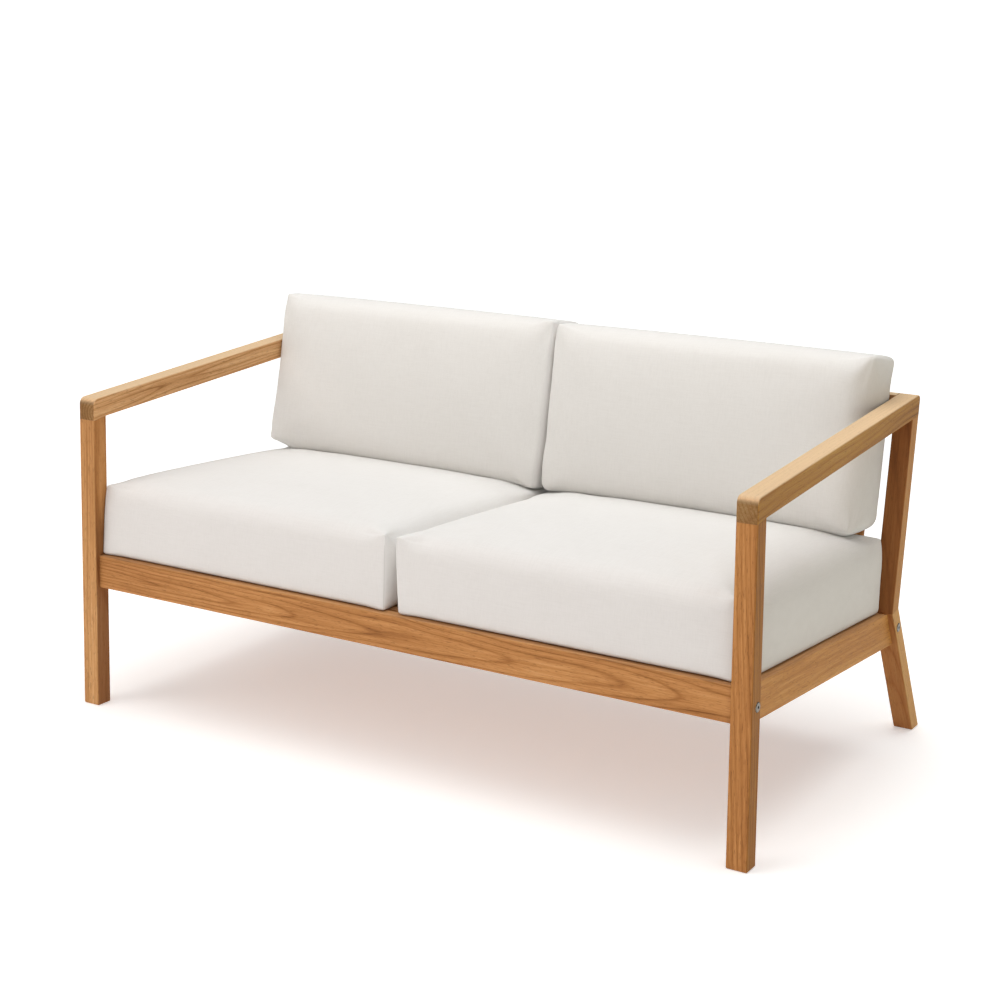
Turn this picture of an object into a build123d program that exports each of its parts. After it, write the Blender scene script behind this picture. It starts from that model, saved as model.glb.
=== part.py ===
# Two-seat garden sofa: a slatted hardwood frame with two seat and two back cushions.
# Millimetres. +X is to the right as seen from the front, +Y to the rear, +Z up.
# The origin is on the ground, at the middle of the overall box.
from build123d import *
from math import cos, radians, sin, sqrt, tan
import os

os.makedirs("parts", exist_ok=True)

# Driving sizes of the frame
overall_width = 1440
leg_width = 38
front_leg_depth = 34
rear_leg_thickness = 31
kink_from_front = 632
kink_height = 268
kick_angle = 27.4
back_lean = 10.3
arm_front_height = 618
arm_rise = 4.06
arm_thickness = 40
arm_seam_drop = 2.5
arm_front_radius = 13
arm_rear_radius = 9

# Driving sizes of the rails
seat_rail_top = 304.5
seat_rail_height = 64.5
seat_pitch = 3.72
side_rail_thickness = 28
side_rail_recess = 11
front_rail_thickness = 25
front_rail_recess = 9
rear_rail_thickness = 24
rear_rail_height = 58
rear_rail_drop = 41
lower_back_rail_thickness = 24
lower_back_rail_height = 42
lower_back_rail_rise = 39
top_rail_thickness = 27

# Driving sizes of the slats and what carries them
back_slat_count = 12
back_slat_width = 46
back_slat_thickness = 12
back_slat_end_margin = 40
seat_slat_count = 8
seat_slat_width = 60
seat_slat_thickness = 15
bearer_width = 30
bearer_height = 42
ledger_width = 20
ledger_height = 22

# Joinery
glue_gap = 0.15
edge_radius = 2
seam_edge_radius = 0.8
foot_chamfer = 1.5
tenon_thickness = 10
tenon_length = 11
leg_tenon_width = 22
leg_tenon_depth = 16
leg_tenon_height = 24
rail_tenon_shoulder = 6
slat_tenon_length = 12
top_tenon_length = 6
bearer_housing = 8
slat_end_gap = 0.5
dowel_diameter = 8
dowel_length = 28
dowel_spacing = 40
dowel_in_leg = 12
front_dowel_setback = 17.5

# Connector bolts and screws
bolt_diameter = 8
bolt_length = 78
bolt_head_diameter = 17
bolt_head_height = 4.5
bolt_head_radius = 1.6
bolt_recess = 3.2
bolt_socket_width = 5
bolt_socket_depth = 3
bolt_gap = 0.4
nut_diameter = 14
nut_length = 17
nut_from_end = 34
front_bolt_setback = 22
screw_diameter = 4
screw_head_diameter = 8
screw_head_height = 2.6
screw_length = 30
screw_gap = 0.1
ledger_screw_length = 38
hole_end_gap = 1

# Cushions
cushion_gap = 0.3
cushion_side_gap = 0.5
lean_gap = 0.5
seat_cushion_gap = 14
seat_cushion_front = 17
seat_cushion_rear_gap = 5.3
seat_cushion_height = 141
seat_crown = 21
seat_side_bulge = 15
seat_low_rise_share = 0.6
seat_squeeze_run = 0.3
cushion_leg_gap = 1.5
seat_front_crown = 5
seat_front_top_radius = 38
seat_rear_top_radius = 20
seat_low_radius = 12
back_cushion_thickness = 122
back_cushion_height = 336
back_cushion_side_gap = 2
back_cushion_gap = 8
back_crown = 13
back_end_crown = 5
back_front_top_radius = 40
back_rear_top_radius = 16
back_low_radius = 36
foot_crown_share = 0.38

# A cushion's sides draw in over a rounded width, and its crown grows toward the middle
side_round = 18
side_shrink = 13
side_round_steps = 4
crown_step_shares = [0.08, 0.22, 0.5]
crown_power = 2.4

# Worked out from the driving sizes
cut_overrun = 5
half_width = overall_width / 2
inner_half = half_width - leg_width
kick = radians(kick_angle)
lean = radians(back_lean)
rise = radians(arm_rise)
pitch = radians(seat_pitch)
foot_length = rear_leg_thickness / cos(kick)
overall_depth = kink_from_front + kink_height * tan(kick) + foot_length
front_y = -overall_depth / 2
rear_y = overall_depth / 2
leg_rear_y = front_y + front_leg_depth
kink_y = front_y + kink_from_front
sides = {"left": -1, "right": 1}

# The line through the middle of the rear leg bends at this point
bend_half = rear_leg_thickness / cos((kick + lean) / 2) / 2
bend_turn = (kick - lean) / 2
bend_y = kink_y + bend_half * cos(bend_turn)
bend_z = kink_height + bend_half * sin(bend_turn)
kink_rear_y = kink_y + 2 * bend_half * cos(bend_turn)
kink_rear_z = kink_height + 2 * bend_half * sin(bend_turn)


def arm_top_z(y):
    return arm_front_height + (y - front_y) * tan(rise)


def arm_under_z(y):
    return arm_top_z(y) - arm_thickness


def lean_line_y(z, back):
    """Y of a line parallel to the back, at a distance behind the rear leg's front face."""
    return kink_y + (z - kink_height) * tan(lean) + back / cos(lean)


def on_arm_line(back, below):
    """Where a line parallel to the back meets a line parallel to the arm's top."""
    start_y = lean_line_y(0, back)
    height = arm_top_z(start_y) - below
    z = height / (1 - tan(lean) * tan(rise))
    return (lean_line_y(z, back), z)


def rail_top_z(y):
    return seat_rail_top - (y - leg_rear_y) * tan(pitch)


def on_kick_line(below, reach):
    """Where a line below the side rail's top meets the lower leg's front face, moved by reach."""
    start_y = kink_y + kink_height * tan(kick) + reach
    z = (rail_top_z(start_y) - below) / (1 - tan(pitch) * tan(kick))
    return (start_y - z * tan(kick), z)


def rail_strip(top, bottom, front_reach, rear_reach):
    """Outline of a strip of the side rail, between two depths below its top."""
    y = leg_rear_y - front_reach
    return [
        (y, rail_top_z(y) - bottom),
        (y, rail_top_z(y) - top),
        on_kick_line(top, rear_reach),
        on_kick_line(bottom, rear_reach),
    ]


# Planes of the leaning back, the kicked-back lower leg and the pitched seat
back_plane = Plane(origin=(0, bend_y, bend_z), x_dir=(1, 0, 0), z_dir=(0, -cos(lean), sin(lean)))
kick_plane = Plane(origin=(0, bend_y, bend_z), x_dir=(1, 0, 0), z_dir=(0, -cos(kick), -sin(kick)))
seat_origin = (0, leg_rear_y, seat_rail_top)
seat_plane = Plane(origin=seat_origin, x_dir=(1, 0, 0), z_dir=(0, sin(pitch), cos(pitch)))

# Places of the bolts and dowels, in the side view
front_bolt = (front_y + front_bolt_setback, seat_rail_top - seat_rail_height / 2)
rear_bolt = (bend_y + rear_rail_drop * sin(kick), bend_z - rear_rail_drop * cos(kick))
front_dowels = [
    (front_y + front_dowel_setback, front_bolt[1] + dowel_spacing / 2),
    (front_y + front_dowel_setback, front_bolt[1] - dowel_spacing / 2),
]
rear_dowels = [
    (rear_bolt[0] - dowel_spacing / 2 * sin(kick), rear_bolt[1] + dowel_spacing / 2 * cos(kick)),
    (rear_bolt[0] + dowel_spacing / 2 * sin(kick), rear_bolt[1] - dowel_spacing / 2 * cos(kick)),
]

# The side rail's two tenons leave the middle of its height clear for the bolt
side_tenons = [
    (rail_tenon_shoulder, seat_rail_height / 2 - bolt_diameter),
    (seat_rail_height / 2 + bolt_diameter, seat_rail_height - rail_tenon_shoulder),
]
side_rail_x = half_width - side_rail_recess - side_rail_thickness / 2

# The rear leg's tenon follows the lean of the leg
leg_tenon_back = (rear_leg_thickness - leg_tenon_depth) / 2
leg_x = half_width - leg_width / 2
side_rail_inner_x = side_rail_x - side_rail_thickness / 2
ledger_face_x = side_rail_inner_x - ledger_width
slat_screw_x = side_rail_inner_x - ledger_width / 2
nut_x = inner_half - nut_from_end
bolt_reach = bolt_length - (leg_width - bolt_recess)
dowel_in_rail = dowel_length - dowel_in_leg
socket_sides = 6
screw_taper = 45
screw_cone_height = (screw_head_diameter - screw_diameter) / 2 / tan(radians(screw_taper))

# Seat slats are spaced evenly from the front rail to the bend of the rear legs
deck_length = (kink_y - leg_rear_y) / cos(pitch)
seat_cushion_front_reach = front_leg_depth - seat_cushion_front
seat_cushion_depth = deck_length + seat_cushion_front_reach - seat_cushion_rear_gap
seat_slat_space = deck_length / seat_slat_count - seat_slat_width
seat_slat_places = [
    (number + 0.5) * deck_length / seat_slat_count for number in range(seat_slat_count)
]

# Ledger screws sit at every other gap between slats, at the middle of the ledger's height
ledger_screw_places = []
for number in range(1, seat_slat_count, 2):
    distance = number * deck_length / seat_slat_count
    depth = seat_slat_thickness + ledger_height / 2
    ledger_screw_places.append(
        (
            leg_rear_y + distance * cos(pitch) - depth * sin(pitch),
            seat_rail_top - distance * sin(pitch) - depth * cos(pitch),
        )
    )

# Back slats are spaced evenly between the rear legs
back_slat_reach = inner_half - back_slat_end_margin - back_slat_width / 2
back_slat_places = [
    -back_slat_reach + 2 * back_slat_reach * number / (back_slat_count - 1)
    for number in range(back_slat_count)
]
slat_bottom = lower_back_rail_rise + lower_back_rail_height / 2
top_rail_under_z = on_arm_line(rear_leg_thickness / 2, arm_thickness)[1]
slat_top = (top_rail_under_z - bend_z) / cos(lean)

# The foot of the back cushion's rear face: on the seat cushion, against the top rail
seat_cushion_top = seat_cushion_height + seat_crown * foot_crown_share + cushion_gap
back_cushion_rear = rear_leg_thickness - top_rail_thickness - lean_gap
foot_start_y = lean_line_y(0, back_cushion_rear)
back_foot_z = (rail_top_z(foot_start_y) + seat_cushion_top) / (1 + tan(pitch) * tan(lean))
back_foot_y = lean_line_y(back_foot_z, back_cushion_rear)


def bearer_outline(gap):
    """Side view of the bearer, with its ends housed in the front and rear rails."""
    rear_rail_back = (rear_leg_thickness - rear_rail_thickness) / 2
    top = seat_slat_thickness / cos(pitch)
    return rail_strip(
        top - gap,
        top + bearer_height + gap,
        bearer_housing + gap,
        (rear_rail_back + bearer_housing + gap) / cos(kick),
    )


def leg_start(side):
    """X of the left-hand face of a leg or an arm."""
    return inner_half if side > 0 else -half_width


def rear_tenon_outline(gap):
    """Side view of the rear leg's top tenon, from inside the leg to inside the arm."""
    low = arm_thickness + cut_overrun
    high = arm_thickness - leg_tenon_height - gap
    return [
        on_arm_line(leg_tenon_back - gap, low),
        on_arm_line(leg_tenon_back + leg_tenon_depth + gap, low),
        on_arm_line(leg_tenon_back + leg_tenon_depth + gap, high),
        on_arm_line(leg_tenon_back - gap, high),
    ]


# The top rail's tenon into the arm, and the lower back rail's tenon into the leg
top_rail_front = rear_leg_thickness - top_rail_thickness
top_tenon_shares = [(0.25, 0.2), (0.25, 0.75), (0.7, 0.75), (0.7, 0.2)]


def top_tenon_outline(gap):
    points = []
    middle_back = (top_tenon_shares[0][0] + top_tenon_shares[2][0]) / 2
    middle_low = (top_tenon_shares[0][1] + top_tenon_shares[1][1]) / 2
    for back_share, low_share in top_tenon_shares:
        back = top_rail_front + top_rail_thickness * back_share
        low = arm_thickness * low_share
        back += gap if back_share > middle_back else -gap
        low += gap if low_share > middle_low else -gap
        points.append(on_arm_line(back, low))
    return points


# Front legs: square head, a stub tenon up into the arm, mortises for the side rail
for name, side in sides.items():
    tenon_y = front_y + front_leg_depth / 2
    with BuildPart() as front_leg:
        with BuildSketch(Plane.YZ.offset(leg_start(side))):
            with BuildLine():
                Polyline(
                    (front_y, 0),
                    (leg_rear_y, 0),
                    (leg_rear_y, arm_under_z(leg_rear_y)),
                    (front_y, arm_under_z(front_y) - arm_seam_drop),
                    close=True,
                )
            make_face()
        extrude(amount=leg_width)
        fillet(front_leg.edges().filter_by(Axis.Z), edge_radius)
        chamfer(front_leg.faces().sort_by(Axis.Z)[0].edges(), foot_chamfer)
        tenon_base = arm_under_z(front_y) - arm_seam_drop - cut_overrun
        with BuildSketch(Plane.XY.offset(tenon_base)):
            with Locations((side * leg_x, tenon_y)):
                Rectangle(leg_tenon_width, leg_tenon_depth)
        extrude(amount=arm_under_z(tenon_y) + leg_tenon_height - tenon_base)
        for top, bottom in side_tenons:
            with BuildSketch(Plane.YZ.offset(side * side_rail_x)):
                with BuildLine():
                    Polyline(
                        *rail_strip(top - glue_gap, bottom + glue_gap, tenon_length + glue_gap, 0),
                        close=True,
                    )
                make_face()
            extrude(amount=tenon_thickness / 2 + glue_gap, both=True, mode=Mode.SUBTRACT)
        with BuildSketch(Plane.YZ.offset(leg_start(side))):
            with Locations(front_bolt):
                Circle(bolt_diameter / 2 + bolt_gap)
        extrude(amount=leg_width, mode=Mode.SUBTRACT)
        with BuildSketch(Plane.YZ.offset(side * half_width)):
            with Locations(front_bolt):
                Circle(bolt_head_diameter / 2 + bolt_gap)
        extrude(amount=-side * bolt_recess, mode=Mode.SUBTRACT)
        with BuildSketch(Plane.YZ.offset(side * inner_half)):
            with Locations(*front_dowels):
                Circle(dowel_diameter / 2 + glue_gap)
        extrude(amount=side * (dowel_in_leg + glue_gap), mode=Mode.SUBTRACT)
    front_leg.part.label = f"front_leg_{name}"
    export_step(front_leg.part, f"parts/front_leg_{name}.step")

# Rear legs: cut from one plank, leaning back above the seat and kicked back below it
for name, side in sides.items():
    with BuildPart() as rear_leg:
        with BuildSketch(Plane.YZ.offset(leg_start(side))):
            with BuildLine():
                Polyline(
                    (rear_y - foot_length, 0),
                    (kink_y, kink_height),
                    on_arm_line(0, arm_thickness),
                    on_arm_line(rear_leg_thickness, arm_thickness),
                    (kink_rear_y, kink_rear_z),
                    (rear_y, 0),
                    close=True,
                )
            make_face()
        extrude(amount=leg_width)
        long_edges = rear_leg.faces().filter_by(Axis.X).edges().filter_by(
            lambda edge: edge.length > 2 * rear_leg_thickness
        )
        fillet(long_edges, edge_radius)
        chamfer(rear_leg.faces().sort_by(Axis.Z)[0].edges(), foot_chamfer)
        with BuildSketch(Plane.YZ.offset(side * leg_x)):
            with BuildLine():
                Polyline(*rear_tenon_outline(0), close=True)
            make_face()
        extrude(amount=leg_tenon_width / 2, both=True)
        for top, bottom in side_tenons:
            with BuildSketch(Plane.YZ.offset(side * side_rail_x)):
                with BuildLine():
                    Polyline(
                        *rail_strip(top - glue_gap, bottom + glue_gap, 0, tenon_length + glue_gap),
                        close=True,
                    )
                make_face()
            extrude(amount=tenon_thickness / 2 + glue_gap, both=True, mode=Mode.SUBTRACT)
        with BuildSketch(back_plane.offset(tenon_thickness / 2 + glue_gap)):
            with Locations((side * (inner_half + tenon_length / 2), lower_back_rail_rise)):
                Rectangle(
                    tenon_length + 2 * glue_gap,
                    lower_back_rail_height - 2 * rail_tenon_shoulder + 2 * glue_gap,
                )
        extrude(amount=-tenon_thickness - 2 * glue_gap, mode=Mode.SUBTRACT)
        with BuildSketch(Plane.YZ.offset(leg_start(side))):
            with Locations(rear_bolt):
                Circle(bolt_diameter / 2 + bolt_gap)
        extrude(amount=leg_width, mode=Mode.SUBTRACT)
        with BuildSketch(Plane.YZ.offset(side * half_width)):
            with Locations(rear_bolt):
                Circle(bolt_head_diameter / 2 + bolt_gap)
        extrude(amount=-side * bolt_recess, mode=Mode.SUBTRACT)
        with BuildSketch(Plane.YZ.offset(side * inner_half)):
            with Locations(*rear_dowels):
                Circle(dowel_diameter / 2 + glue_gap)
        extrude(amount=side * (dowel_in_leg + glue_gap), mode=Mode.SUBTRACT)
    rear_leg.part.label = f"rear_leg_{name}"
    export_step(rear_leg.part, f"parts/rear_leg_{name}.step")

# Arms: sloped, rounded at both ends of the top, mortised for the leg and rail tenons
for name, side in sides.items():
    with BuildPart() as arm:
        with BuildSketch(Plane.YZ.offset(leg_start(side))) as arm_outline:
            with BuildLine():
                Polyline(
                    (front_y, arm_under_z(front_y) - arm_seam_drop),
                    (front_y, arm_front_height),
                    on_arm_line(rear_leg_thickness, 0),
                    on_arm_line(rear_leg_thickness, arm_thickness),
                    (leg_rear_y, arm_under_z(leg_rear_y)),
                    close=True,
                )
            make_face()
            front_corner = arm_outline.vertices().group_by(Axis.X)[0].sort_by(Axis.Y)[-1]
            fillet(front_corner, arm_front_radius)
            rear_corner = arm_outline.vertices().sort_by(Axis.Y)[-1]
            fillet(rear_corner, arm_rear_radius)
        extrude(amount=leg_width)
        side_edges = arm.faces().filter_by(Axis.X).edges()
        long_edges = side_edges.filter_by(lambda edge: edge.length > 2 * arm_thickness)
        underside = long_edges.group_by(Axis.Z)[0]
        seams = side_edges.group_by(Axis.Z)[0]
        fillet(side_edges.filter_by(lambda edge: edge not in underside + seams), edge_radius)
        side_edges = arm.faces().filter_by(Axis.X).edges()
        long_edges = side_edges.filter_by(lambda edge: edge.length > 2 * arm_thickness)
        fillet(long_edges.sort_by(Axis.Z)[: len(sides)], seam_edge_radius)
        tenon_y = front_y + front_leg_depth / 2
        mortise_base = arm_under_z(front_y) - arm_seam_drop - cut_overrun
        with BuildSketch(Plane.XY.offset(mortise_base)):
            with Locations((side * leg_x, tenon_y)):
                Rectangle(leg_tenon_width + 2 * glue_gap, leg_tenon_depth + 2 * glue_gap)
        extrude(
            amount=arm_under_z(tenon_y) + leg_tenon_height + glue_gap - mortise_base,
            mode=Mode.SUBTRACT,
        )
        with BuildSketch(Plane.YZ.offset(side * leg_x)):
            with BuildLine():
                Polyline(*rear_tenon_outline(glue_gap), close=True)
            make_face()
        extrude(amount=leg_tenon_width / 2 + glue_gap, both=True, mode=Mode.SUBTRACT)
        with BuildSketch(Plane.YZ.offset(side * inner_half)):
            with BuildLine():
                Polyline(*top_tenon_outline(glue_gap), close=True)
            make_face()
        extrude(amount=side * (top_tenon_length + glue_gap), mode=Mode.SUBTRACT)
    arm.part.label = f"arm_{name}"
    export_step(arm.part, f"parts/arm_{name}.step")

# Side rails: pitched down to the rear, shouldered to the kicked face of the rear leg
for name, side in sides.items():
    with BuildPart() as side_rail:
        with BuildSketch(Plane.YZ.offset(side * side_rail_x)):
            with BuildLine():
                Polyline(*rail_strip(0, seat_rail_height, 0, 0), close=True)
            make_face()
        extrude(amount=side_rail_thickness / 2, both=True)
        fillet(
            side_rail.faces().filter_by(Axis.X).edges().filter_by(
                lambda edge: edge.length > 2 * seat_rail_height
            ),
            edge_radius,
        )
        for top, bottom in side_tenons:
            with BuildSketch(Plane.YZ.offset(side * side_rail_x)):
                with BuildLine():
                    Polyline(*rail_strip(top, bottom, tenon_length, tenon_length), close=True)
                make_face()
            extrude(amount=tenon_thickness / 2, both=True)
        with BuildSketch(Plane.YZ.offset(side * ledger_face_x)):
            with Locations(*ledger_screw_places):
                Circle(screw_diameter / 2 + screw_gap)
        extrude(amount=side * (ledger_screw_length + hole_end_gap), mode=Mode.SUBTRACT)
    side_rail.part.label = f"side_rail_{name}"
    export_step(side_rail.part, f"parts/side_rail_{name}.step")

# Front rail: bolted between the front legs, housed at the middle for the bearer
with BuildPart() as front_rail:
    with BuildSketch(Plane.YZ):
        with Locations((front_y + front_rail_recess + front_rail_thickness / 2, front_bolt[1])):
            Rectangle(front_rail_thickness, seat_rail_height)
    extrude(amount=inner_half, both=True)
    fillet(front_rail.edges().filter_by(Axis.X), edge_radius)
    for side in sides.values():
        with BuildSketch(Plane.YZ.offset(side * inner_half)):
            with Locations(front_bolt):
                Circle(bolt_diameter / 2 + bolt_gap)
        extrude(amount=-side * (bolt_reach + hole_end_gap), mode=Mode.SUBTRACT)
        with BuildSketch(Plane.YZ.offset(side * inner_half)):
            with Locations(*front_dowels):
                Circle(dowel_diameter / 2 + glue_gap)
        extrude(amount=-side * (dowel_in_rail + hole_end_gap), mode=Mode.SUBTRACT)
    with BuildSketch(Plane.XZ.offset(-front_bolt[0] + nut_length / 2)):
        with Locations((-nut_x, front_bolt[1]), (nut_x, front_bolt[1])):
            Circle(nut_diameter / 2 + glue_gap)
    extrude(amount=-front_leg_depth, mode=Mode.SUBTRACT)
    with BuildSketch(Plane.YZ):
        with BuildLine():
            Polyline(*bearer_outline(glue_gap), close=True)
        make_face()
    extrude(amount=bearer_width / 2 + glue_gap, both=True, mode=Mode.SUBTRACT)
front_rail.part.label = "front_rail"
export_step(front_rail.part, "parts/front_rail.step")

# Rear rail: bolted between the kicked parts of the rear legs, at their angle
with BuildPart() as rear_rail:
    with BuildSketch(kick_plane):
        with Locations((0, -rear_rail_drop)):
            Rectangle(2 * inner_half, rear_rail_height)
    extrude(amount=rear_rail_thickness / 2, both=True)
    fillet(rear_rail.edges().filter_by(Axis.X), edge_radius)
    for side in sides.values():
        with BuildSketch(Plane.YZ.offset(side * inner_half)):
            with Locations(rear_bolt):
                Circle(bolt_diameter / 2 + bolt_gap)
        extrude(amount=-side * (bolt_reach + hole_end_gap), mode=Mode.SUBTRACT)
        with BuildSketch(Plane.YZ.offset(side * inner_half)):
            with Locations(*rear_dowels):
                Circle(dowel_diameter / 2 + glue_gap)
        extrude(amount=-side * (dowel_in_rail + hole_end_gap), mode=Mode.SUBTRACT)
    with BuildSketch(kick_plane.offset(-nut_length / 2)):
        with Locations((-nut_x, -rear_rail_drop), (nut_x, -rear_rail_drop)):
            Circle(nut_diameter / 2 + glue_gap)
    extrude(amount=rear_leg_thickness, mode=Mode.SUBTRACT)
    with BuildSketch(Plane.YZ):
        with BuildLine():
            Polyline(*bearer_outline(glue_gap), close=True)
        make_face()
    extrude(amount=bearer_width / 2 + glue_gap, both=True, mode=Mode.SUBTRACT)
rear_rail.part.label = "rear_rail"
export_step(rear_rail.part, "parts/rear_rail.step")

# Lower back rail: stub tenons into the rear legs, mortised along its top for the slats
with BuildPart() as lower_back_rail:
    with BuildSketch(back_plane):
        with Locations((0, lower_back_rail_rise)):
            Rectangle(2 * inner_half, lower_back_rail_height)
    extrude(amount=lower_back_rail_thickness / 2, both=True)
    fillet(lower_back_rail.edges().filter_by(Axis.X), edge_radius)
    with BuildSketch(back_plane):
        with Locations((0, lower_back_rail_rise)):
            Rectangle(
                2 * (inner_half + tenon_length),
                lower_back_rail_height - 2 * rail_tenon_shoulder,
            )
    extrude(amount=tenon_thickness / 2, both=True)
    with BuildSketch(back_plane):
        with Locations(*[(x, slat_bottom) for x in back_slat_places]):
            Rectangle(back_slat_width + 2 * glue_gap, 2 * (slat_tenon_length + glue_gap))
    extrude(amount=back_slat_thickness / 2 + glue_gap, both=True, mode=Mode.SUBTRACT)
lower_back_rail.part.label = "lower_back_rail"
export_step(lower_back_rail.part, "parts/lower_back_rail.step")

# Top rail: level with the arms, tenoned into them, mortised underneath for the slats
with BuildPart() as top_rail:
    with BuildSketch(Plane.YZ) as top_rail_outline:
        with BuildLine():
            Polyline(
                on_arm_line(top_rail_front, arm_thickness),
                on_arm_line(rear_leg_thickness, arm_thickness),
                on_arm_line(rear_leg_thickness, 0),
                on_arm_line(top_rail_front, 0),
                close=True,
            )
        make_face()
        other_corners = top_rail_outline.vertices().sort_by(Axis.Y)[:-1]
        fillet(other_corners, edge_radius)
        rear_corner = top_rail_outline.vertices().sort_by(Axis.Y)[-1]
        fillet(rear_corner, arm_rear_radius)
    extrude(amount=inner_half, both=True)
    with BuildSketch(Plane.YZ):
        with BuildLine():
            Polyline(*top_tenon_outline(0), close=True)
        make_face()
    extrude(amount=inner_half + top_tenon_length, both=True)
    with BuildSketch(back_plane):
        with Locations(*[(x, slat_top) for x in back_slat_places]):
            Rectangle(back_slat_width + 2 * glue_gap, 2 * (slat_tenon_length + glue_gap))
    extrude(amount=back_slat_thickness / 2 + glue_gap, both=True, mode=Mode.SUBTRACT)
top_rail.part.label = "top_rail"
export_step(top_rail.part, "parts/top_rail.step")

# Back slats: let into the lower back rail and the top rail
for number, x in enumerate(back_slat_places, start=1):
    with BuildPart() as back_slat:
        with BuildSketch(back_plane):
            with Locations((x, (slat_bottom + slat_top) / 2)):
                Rectangle(back_slat_width, slat_top - slat_bottom + 2 * slat_tenon_length)
        extrude(amount=back_slat_thickness / 2, both=True)
        upright_edges = back_slat.edges().filter_by(lambda edge: edge.length > back_slat_width)
        fillet(upright_edges, edge_radius)
    back_slat.part.label = f"back_slat_{number:02d}"
    export_step(back_slat.part, f"parts/back_slat_{number:02d}.step")

# Ledgers: strips screwed to the inner faces of the side rails, under the slat ends
for name, side in sides.items():
    with BuildPart() as ledger:
        with BuildSketch(seat_plane.offset(-seat_slat_thickness)):
            with Locations((side * (side_rail_inner_x - ledger_width / 2), deck_length / 2)):
                Rectangle(ledger_width, deck_length - seat_slat_space)
        extrude(amount=-ledger_height)
        with BuildSketch(Plane.YZ.offset(side * ledger_face_x)):
            with Locations(*ledger_screw_places):
                Circle(screw_diameter / 2 + screw_gap)
        extrude(amount=side * ledger_width, mode=Mode.SUBTRACT)
        with BuildSketch(Plane.YZ.offset(side * ledger_face_x)):
            with Locations(*ledger_screw_places):
                Circle(screw_head_diameter / 2 + screw_gap)
        extrude(amount=side * (screw_head_height + screw_gap), mode=Mode.SUBTRACT)
        with BuildSketch(seat_plane.offset(-seat_slat_thickness)):
            with Locations(*[(side * slat_screw_x, y) for y in seat_slat_places]):
                Circle(screw_diameter / 2 + screw_gap)
        extrude(amount=-(screw_length - seat_slat_thickness + hole_end_gap), mode=Mode.SUBTRACT)
    ledger.part.label = f"ledger_{name}"
    export_step(ledger.part, f"parts/ledger_{name}.step")

# Bearer: runs front to back under the middle of the seat slats
with BuildPart() as bearer:
    with BuildSketch(Plane.YZ):
        with BuildLine():
            Polyline(*bearer_outline(0), close=True)
        make_face()
    extrude(amount=bearer_width / 2, both=True)
    with BuildSketch(seat_plane.offset(-seat_slat_thickness)):
        with Locations(*[(0, y) for y in seat_slat_places]):
            Circle(screw_diameter / 2 + screw_gap)
    extrude(amount=-(screw_length - seat_slat_thickness + hole_end_gap), mode=Mode.SUBTRACT)
bearer.part.label = "seat_bearer"
export_step(bearer.part, "parts/seat_bearer.step")

# Seat slats: level with the tops of the side rails, screwed at both ends and the middle
for number, y in enumerate(seat_slat_places, start=1):
    with BuildPart() as seat_slat:
        with BuildSketch(seat_plane):
            with Locations((0, y)):
                Rectangle(2 * (side_rail_inner_x - slat_end_gap), seat_slat_width)
        extrude(amount=-seat_slat_thickness)
        fillet(seat_slat.faces().sort_by(Axis.Z)[-1].edges().filter_by(Axis.X), edge_radius)
        with Locations(seat_plane):
            with Locations(*[(x, y) for x in (-slat_screw_x, 0, slat_screw_x)]):
                CounterSinkHole(
                    screw_diameter / 2 + screw_gap,
                    screw_head_diameter / 2 + screw_gap,
                    seat_slat_thickness + cut_overrun,
                )
    seat_slat.part.label = f"seat_slat_{number}"
    export_step(seat_slat.part, f"parts/seat_slat_{number}.step")

# Connector bolts: flat round heads with a hexagon socket, let into the legs
with BuildPart() as connector_bolts:
    for side in sides.values():
        seat_x = side * (half_width - bolt_recess)
        with BuildSketch(Plane.YZ.offset(seat_x)):
            with Locations(front_bolt, rear_bolt):
                Circle(bolt_head_diameter / 2)
        extrude(amount=side * bolt_head_height)
        rims = connector_bolts.edges().filter_by(GeomType.CIRCLE).sort_by(Axis.X)
        fillet(rims[-2:] if side > 0 else rims[:2], bolt_head_radius)
        with BuildSketch(Plane.YZ.offset(seat_x)):
            with Locations(front_bolt, rear_bolt):
                Circle(bolt_diameter / 2)
        extrude(amount=-side * bolt_length)
        with BuildSketch(Plane.YZ.offset(seat_x + side * bolt_head_height)):
            with Locations(front_bolt, rear_bolt):
                RegularPolygon(bolt_socket_width / 2, socket_sides, major_radius=False)
        extrude(amount=-side * bolt_socket_depth, mode=Mode.SUBTRACT)
connector_bolts.part.label = "connector_bolts"
export_step(connector_bolts.part, "parts/connector_bolts.step")

# Barrel nuts: cross-drilled steel barrels in the ends of the front and rear rails
with BuildPart() as barrel_nuts:
    with BuildSketch(Plane.XZ.offset(-front_bolt[0])):
        with Locations((-nut_x, front_bolt[1]), (nut_x, front_bolt[1])):
            Circle(nut_diameter / 2)
    extrude(amount=nut_length / 2, both=True)
    with BuildSketch(kick_plane):
        with Locations((-nut_x, -rear_rail_drop), (nut_x, -rear_rail_drop)):
            Circle(nut_diameter / 2)
    extrude(amount=nut_length / 2, both=True)
    with BuildSketch(Plane.YZ):
        with Locations(front_bolt, rear_bolt):
            Circle(bolt_diameter / 2 + screw_gap)
    extrude(amount=half_width, both=True, mode=Mode.SUBTRACT)
barrel_nuts.part.label = "barrel_nuts"
export_step(barrel_nuts.part, "parts/barrel_nuts.step")

# Dowels: a pair beside each bolt keeps the rail from turning
with BuildPart() as rail_dowels:
    for side in sides.values():
        with BuildSketch(Plane.YZ.offset(side * (inner_half - dowel_in_rail))):
            with Locations(*front_dowels, *rear_dowels):
                Circle(dowel_diameter / 2)
        extrude(amount=side * dowel_length)
rail_dowels.part.label = "rail_dowels"
export_step(rail_dowels.part, "parts/rail_dowels.step")

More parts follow.
